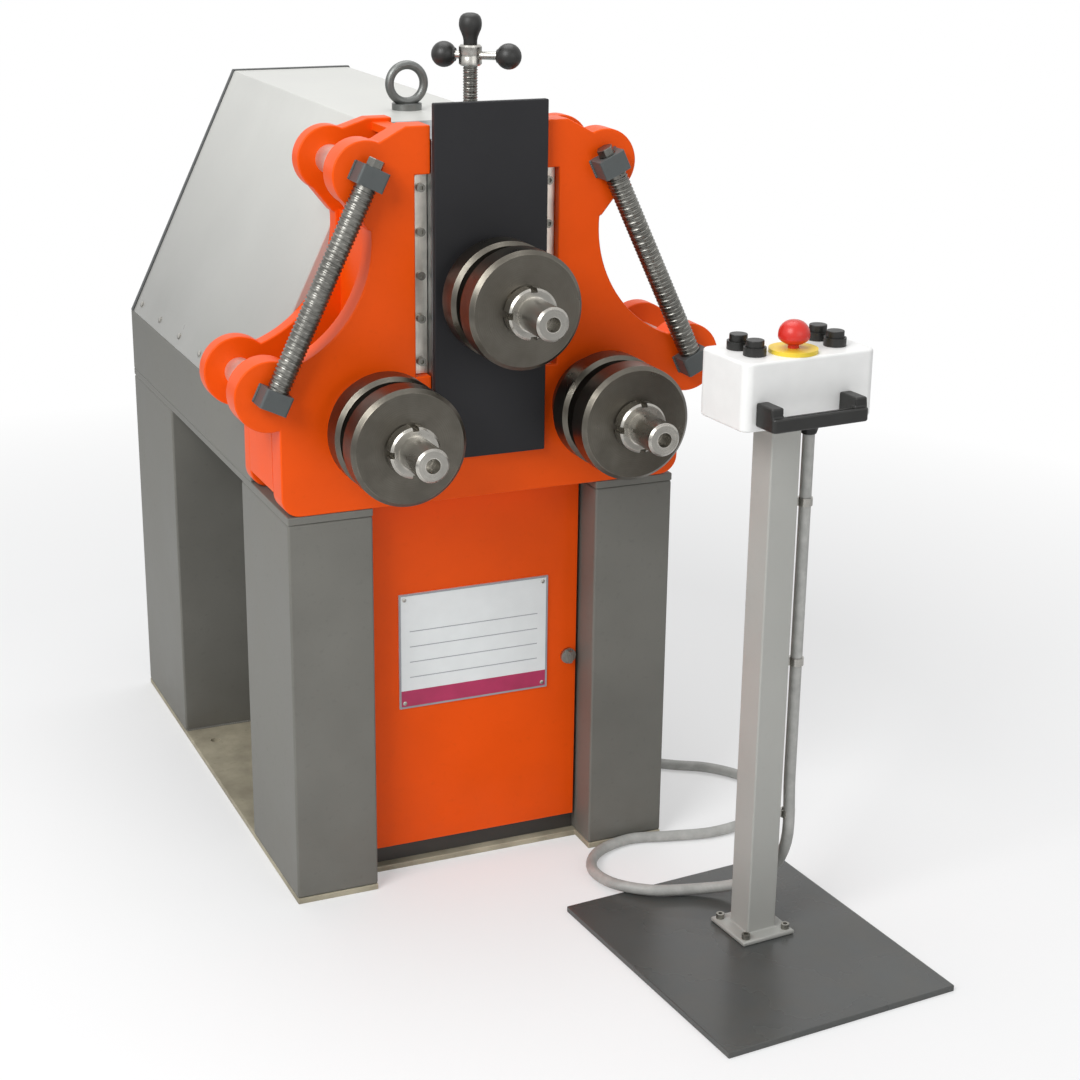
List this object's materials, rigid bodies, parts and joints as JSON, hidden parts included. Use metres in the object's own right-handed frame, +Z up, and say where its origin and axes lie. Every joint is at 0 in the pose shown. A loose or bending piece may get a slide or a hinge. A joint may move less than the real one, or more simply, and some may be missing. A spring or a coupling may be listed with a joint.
{
  "type": "angle roll bender",
  "caption": "Three-roll angle bending machine with hydraulic slide, geared lower rolls, casing, tool cabinet and a separate control stand on a cable.",
  "frame": {"origin": "on the floor, in the middle of the four floor anchor holes, which is the middle of the base frame", "axes": "+Z up, -Y towards the operator at the front, +X to the operator's right as they face the machine"},
  "size_m": [0.9655, 1.6287, 1.363],
  "materials": {
    "orange_paint": "satin orange machine paint",
    "leg_grey_paint": "satin grey machine paint",
    "base_plate_paint": "dull beige-grey paint",
    "cabinet_grey_paint": "dark grey sheet",
    "casing_silver_paint": "light silver-grey sheet",
    "charcoal_paint": "matt charcoal",
    "roll_steel": "turned steel, oiled",
    "bright_steel": "ground bright steel",
    "spindle_steel": "threaded bar, dark",
    "screw_steel": "zinc plated",
    "gear_steel": "cut steel, greased",
    "motor_paint": "blue-grey paint",
    "hydraulic_paint": "dark grey paint",
    "eye_steel": "forged steel",
    "label_white": "plain label",
    "stand_plate_paint": "glossy dark grey paint",
    "post_silver_paint": "light grey paint",
    "box_white": "white enclosure",
    "black_plastic": "black plastic",
    "red_plastic": "red plastic",
    "yellow_plastic": "yellow plastic",
    "cable_grey": "light grey cable sheath"
  },
  "bodies": {
    "frame": {"base_plate": "base_plate_paint", "frame_legs": "leg_grey_paint", "deck_plate": "leg_grey_paint", "top_rails": "leg_grey_paint", "cabinet_walls": "cabinet_grey_paint", "head_front_plate": "orange_paint", "head_rear_plate": "orange_paint", "head_box_plates": "orange_paint", "gib_strips": "bright_steel", "cap_screws": "screw_steel", "casing_hood": "casing_silver_paint", "casing_rear_panel": "casing_silver_paint", "lug_tie_bars": "bright_steel", "lifting_eye": "eye_steel", "lower_bearings": "bright_steel", "bearing_covers": "roll_steel", "gear_motor": "motor_paint", "cylinder_barrel": "hydraulic_paint", "power_unit_tank": "hydraulic_paint", "pump_motor": "motor_paint", "hydraulic_pipes": "bright_steel", "spindle_end_blocks": "charcoal_paint", "door_hinges": "bright_steel", "pedestal_plate": "stand_plate_paint", "pedestal_post": "post_silver_paint", "control_box": "box_white", "box_floor": "box_white", "box_handle": "black_plastic", "estop_collar": "yellow_plastic", "cable_glands": "black_plastic", "control_cable": "cable_grey"},
    "slide": {"slide_block": "bright_steel", "slide_cover": "charcoal_paint", "upper_bearings": "bright_steel", "upper_bearing_cover": "roll_steel", "cylinder_rod": "bright_steel"},
    "upper_roll": {"upper_shaft": "bright_steel", "upper_roll_rings": "roll_steel", "upper_roll_nut": "bright_steel"},
    "left_roll": {"left_shaft": "bright_steel", "left_roll_rings": "roll_steel", "left_roll_nut": "bright_steel", "left_gear": "gear_steel"},
    "right_roll": {"right_shaft": "bright_steel", "right_roll_rings": "roll_steel", "right_roll_nut": "bright_steel", "right_gear": "gear_steel"},
    "drive_wheel": {"drive_gear": "gear_steel"},
    "left_guide_spindle": {"left_spindle": "spindle_steel"},
    "right_guide_spindle": {"right_spindle": "spindle_steel"},
    "stop_handle": {"stop_screw": "bright_steel", "handle_knobs": "black_plastic"},
    "door": {"door_panel": "orange_paint", "name_plate": "label_white"},
    "latch": {"door_latch": "bright_steel"},
    "estop": {"estop_button": "red_plastic"},
    "push_button_left_rear_body": {"push_button_left_rear": "black_plastic"},
    "push_button_left_front_body": {"push_button_left_front": "black_plastic"},
    "push_button_right_rear_body": {"push_button_right_rear": "black_plastic"},
    "push_button_right_front_body": {"push_button_right_front": "black_plastic"}
  },
  "joints": [
    {"name": "slide_lift", "type": "slide", "parent": "frame", "child": "slide", "axis": [0, 0, 1], "range_m": [-0.06, 0.05]},
    {"name": "upper_roll_spin", "type": "hinge", "parent": "slide", "child": "upper_roll", "pos_m": [0, -0.49, 0.964], "axis": [0, 1, 0], "continuous": true},
    {"name": "left_roll_spin", "type": "hinge", "parent": "frame", "child": "left_roll", "pos_m": [-0.18, -0.49, 0.778], "axis": [0, 1, 0], "continuous": true},
    {"name": "right_roll_spin", "type": "hinge", "parent": "frame", "child": "right_roll", "pos_m": [0.18, -0.49, 0.778], "axis": [0, 1, 0], "continuous": true},
    {"name": "drive_gear_spin", "type": "hinge", "parent": "frame", "child": "drive_wheel", "pos_m": [0, -0.2545, 0.778], "axis": [0, 1, 0], "continuous": true},
    {"name": "left_spindle_turn", "type": "hinge", "parent": "frame", "child": "left_guide_spindle", "pos_m": [-0.341, -0.508, 0.832], "axis": [0.4334, 0, 0.9012], "continuous": true},
    {"name": "right_spindle_turn", "type": "hinge", "parent": "frame", "child": "right_guide_spindle", "pos_m": [0.341, -0.508, 0.832], "axis": [-0.4334, 0, 0.9012], "continuous": true},
    {"name": "stop_screw_turn", "type": "hinge", "parent": "slide", "child": "stop_handle", "pos_m": [0, -0.418, 1.302], "axis": [0, 0, 1], "continuous": true},
    {"name": "door_hinge", "type": "hinge", "parent": "frame", "child": "door", "pos_m": [-0.181, -0.436, 0.336], "axis": [0, 0, -1], "range_deg": [0, 90]},
    {"name": "latch_turn", "type": "hinge", "parent": "door", "child": "latch", "pos_m": [0.166, -0.436, 0.333], "axis": [0, 1, 0], "range_deg": [0, 90]},
    {"name": "estop_press", "type": "slide", "parent": "frame", "child": "estop", "axis": [0, 0, 1], "range_m": [-0.005, 0]},
    {"name": "push_button_left_rear_press", "type": "slide", "parent": "frame", "child": "push_button_left_rear_body", "axis": [0, 0, 1], "range_m": [-0.004, 0], "stiffness_N_per_m": 800},
    {"name": "push_button_left_front_press", "type": "slide", "parent": "frame", "child": "push_button_left_front_body", "axis": [0, 0, 1], "range_m": [-0.004, 0], "stiffness_N_per_m": 800},
    {"name": "push_button_right_rear_press", "type": "slide", "parent": "frame", "child": "push_button_right_rear_body", "axis": [0, 0, 1], "range_m": [-0.004, 0], "stiffness_N_per_m": 800},
    {"name": "push_button_right_front_press", "type": "slide", "parent": "frame", "child": "push_button_right_front_body", "axis": [0, 0, 1], "range_m": [-0.004, 0], "stiffness_N_per_m": 800}
  ],
  "couplings": [
    {"joint": "right_roll_spin", "follows": "left_roll_spin", "ratio": 1},
    {"joint": "drive_gear_spin", "follows": "left_roll_spin", "ratio": -0.875}
  ]
}
